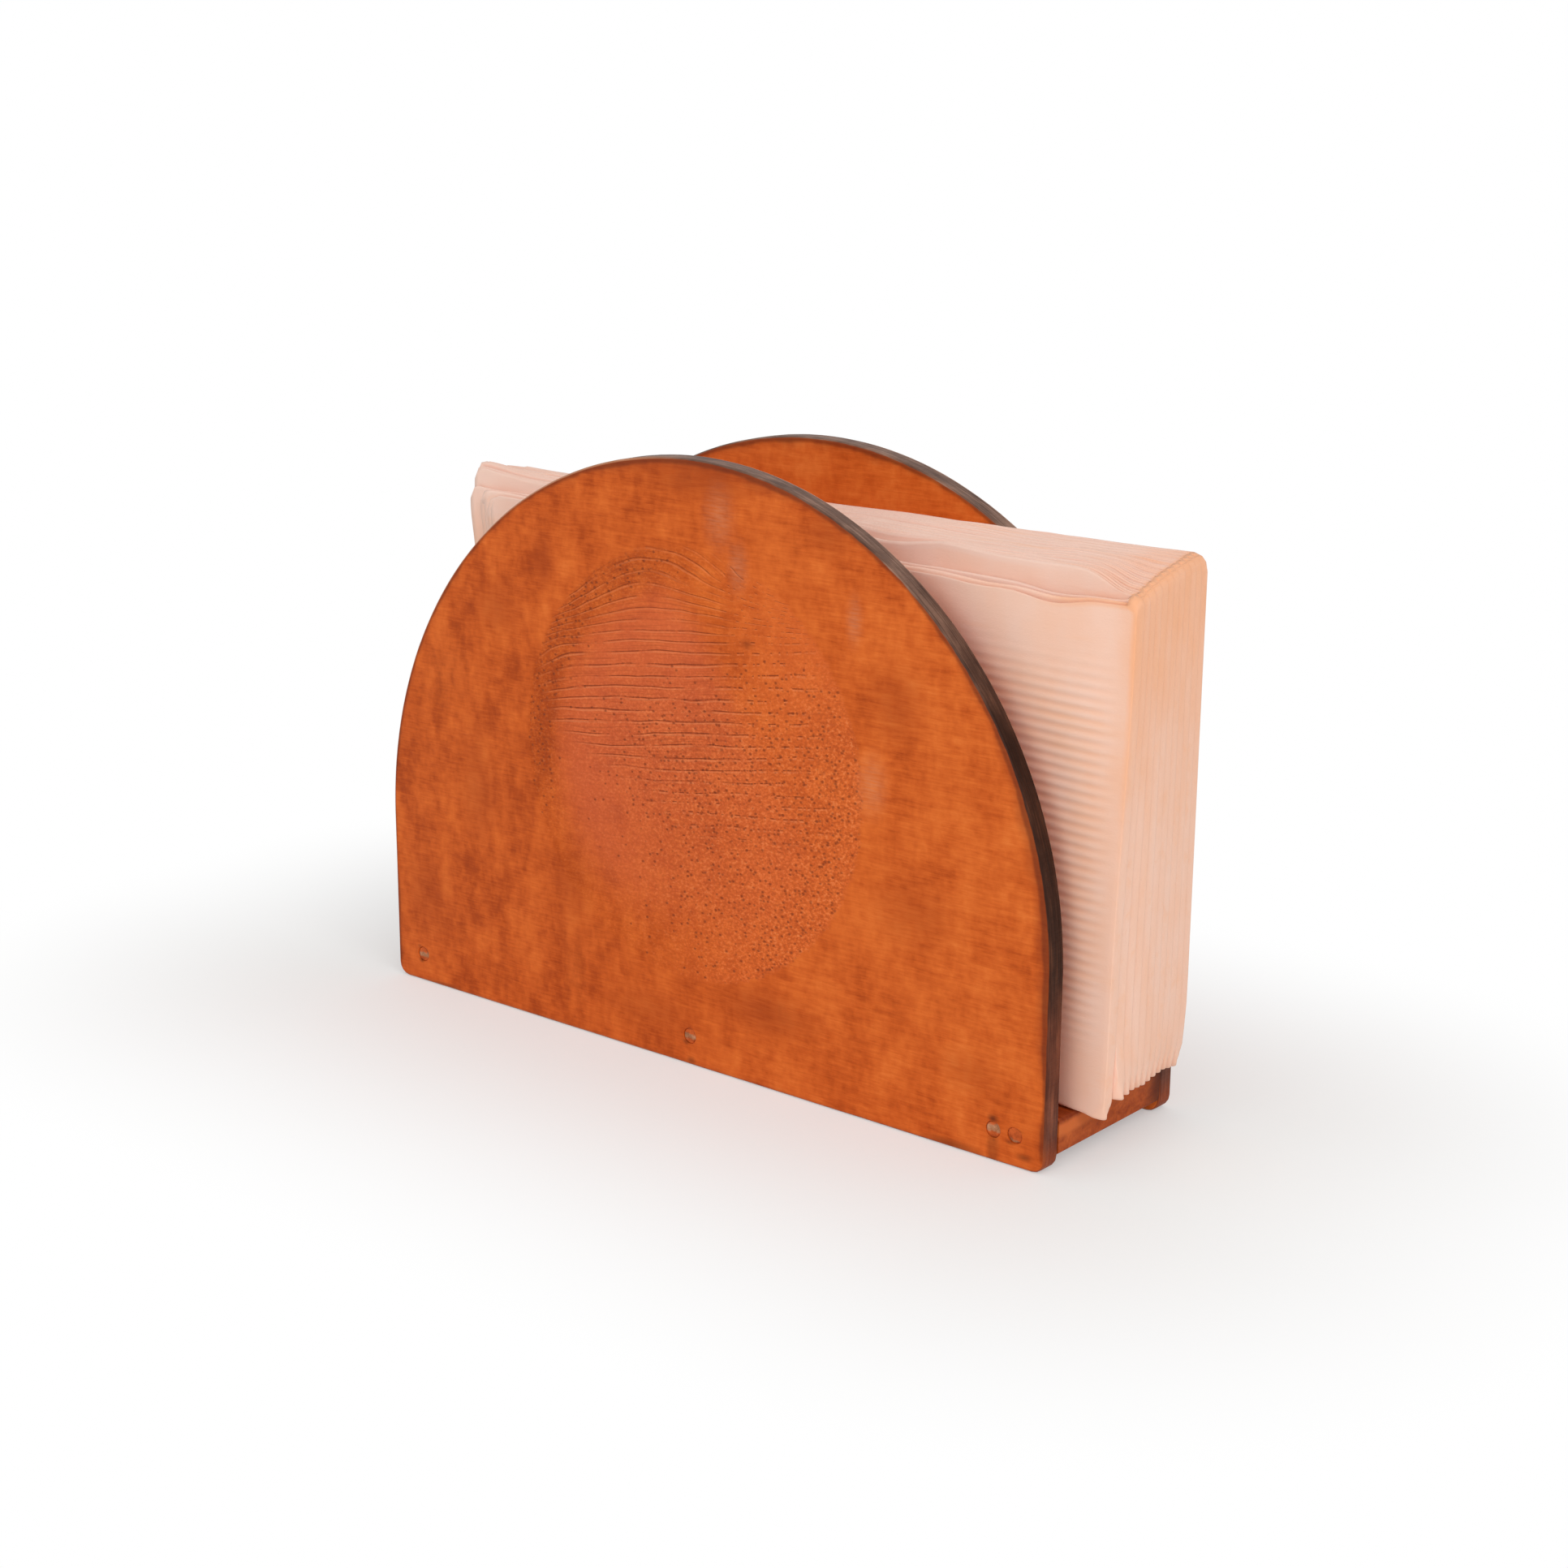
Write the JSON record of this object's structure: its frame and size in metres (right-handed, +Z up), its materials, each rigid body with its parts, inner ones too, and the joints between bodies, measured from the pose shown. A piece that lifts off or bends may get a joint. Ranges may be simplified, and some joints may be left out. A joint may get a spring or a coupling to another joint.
{
  "type": "napkin holder",
  "caption": "Wooden napkin holder: two half-round-topped panels nailed to a raised base board, with a stack of folded paper napkins standing on edge in the slot between them.",
  "frame": {"origin": "middle of the front panel's foot, on the table and in the middle of the panel's thickness", "axes": "+X to the holder's right along the panels, +Y from the front panel to the back panel, +Z up"},
  "size_m": [0.1578, 0.038, 0.107],
  "materials": {
    "panel_wood": "satin",
    "base_wood": "satin",
    "nail_steel": "satin",
    "napkin_paper": "matte"
  },
  "bodies": {
    "holder": {"front_panel": "panel_wood", "back_panel": "panel_wood", "base_board": "base_wood", "front_nails": "nail_steel", "back_nails": "nail_steel"},
    "napkin_01": {"napkin_01": "napkin_paper"},
    "napkin_02": {"napkin_02": "napkin_paper"},
    "napkin_03": {"napkin_03": "napkin_paper"},
    "napkin_04": {"napkin_04": "napkin_paper"},
    "napkin_05": {"napkin_05": "napkin_paper"},
    "napkin_06": {"napkin_06": "napkin_paper"},
    "napkin_07": {"napkin_07": "napkin_paper"},
    "napkin_08": {"napkin_08": "napkin_paper"},
    "napkin_09": {"napkin_09": "napkin_paper"},
    "napkin_10": {"napkin_10": "napkin_paper"},
    "napkin_11": {"napkin_11": "napkin_paper"},
    "napkin_12": {"napkin_12": "napkin_paper"}
  },
  "joints": [
    {"name": "pull_napkin_01", "type": "slide", "parent": "holder", "child": "napkin_01", "axis": [0, 0, 1], "range_m": [0, 0.1]},
    {"name": "pull_napkin_02", "type": "slide", "parent": "holder", "child": "napkin_02", "axis": [0, 0, 1], "range_m": [0, 0.1]},
    {"name": "pull_napkin_03", "type": "slide", "parent": "holder", "child": "napkin_03", "axis": [0, 0, 1], "range_m": [0, 0.1]},
    {"name": "pull_napkin_04", "type": "slide", "parent": "holder", "child": "napkin_04", "axis": [0, 0, 1], "range_m": [0, 0.1]},
    {"name": "pull_napkin_05", "type": "slide", "parent": "holder", "child": "napkin_05", "axis": [0, 0, 1], "range_m": [0, 0.1]},
    {"name": "pull_napkin_06", "type": "slide", "parent": "holder", "child": "napkin_06", "axis": [0, 0, 1], "range_m": [0, 0.1]},
    {"name": "pull_napkin_07", "type": "slide", "parent": "holder", "child": "napkin_07", "axis": [0, 0, 1], "range_m": [0, 0.1]},
    {"name": "pull_napkin_08", "type": "slide", "parent": "holder", "child": "napkin_08", "axis": [0, 0, 1], "range_m": [0, 0.1]},
    {"name": "pull_napkin_09", "type": "slide", "parent": "holder", "child": "napkin_09", "axis": [0, 0, 1], "range_m": [0, 0.1]},
    {"name": "pull_napkin_10", "type": "slide", "parent": "holder", "child": "napkin_10", "axis": [0, 0, 1], "range_m": [0, 0.1]},
    {"name": "pull_napkin_11", "type": "slide", "parent": "holder", "child": "napkin_11", "axis": [0, 0, 1], "range_m": [0, 0.1]},
    {"name": "pull_napkin_12", "type": "slide", "parent": "holder", "child": "napkin_12", "axis": [0, 0, 1], "range_m": [0, 0.1]}
  ]
}
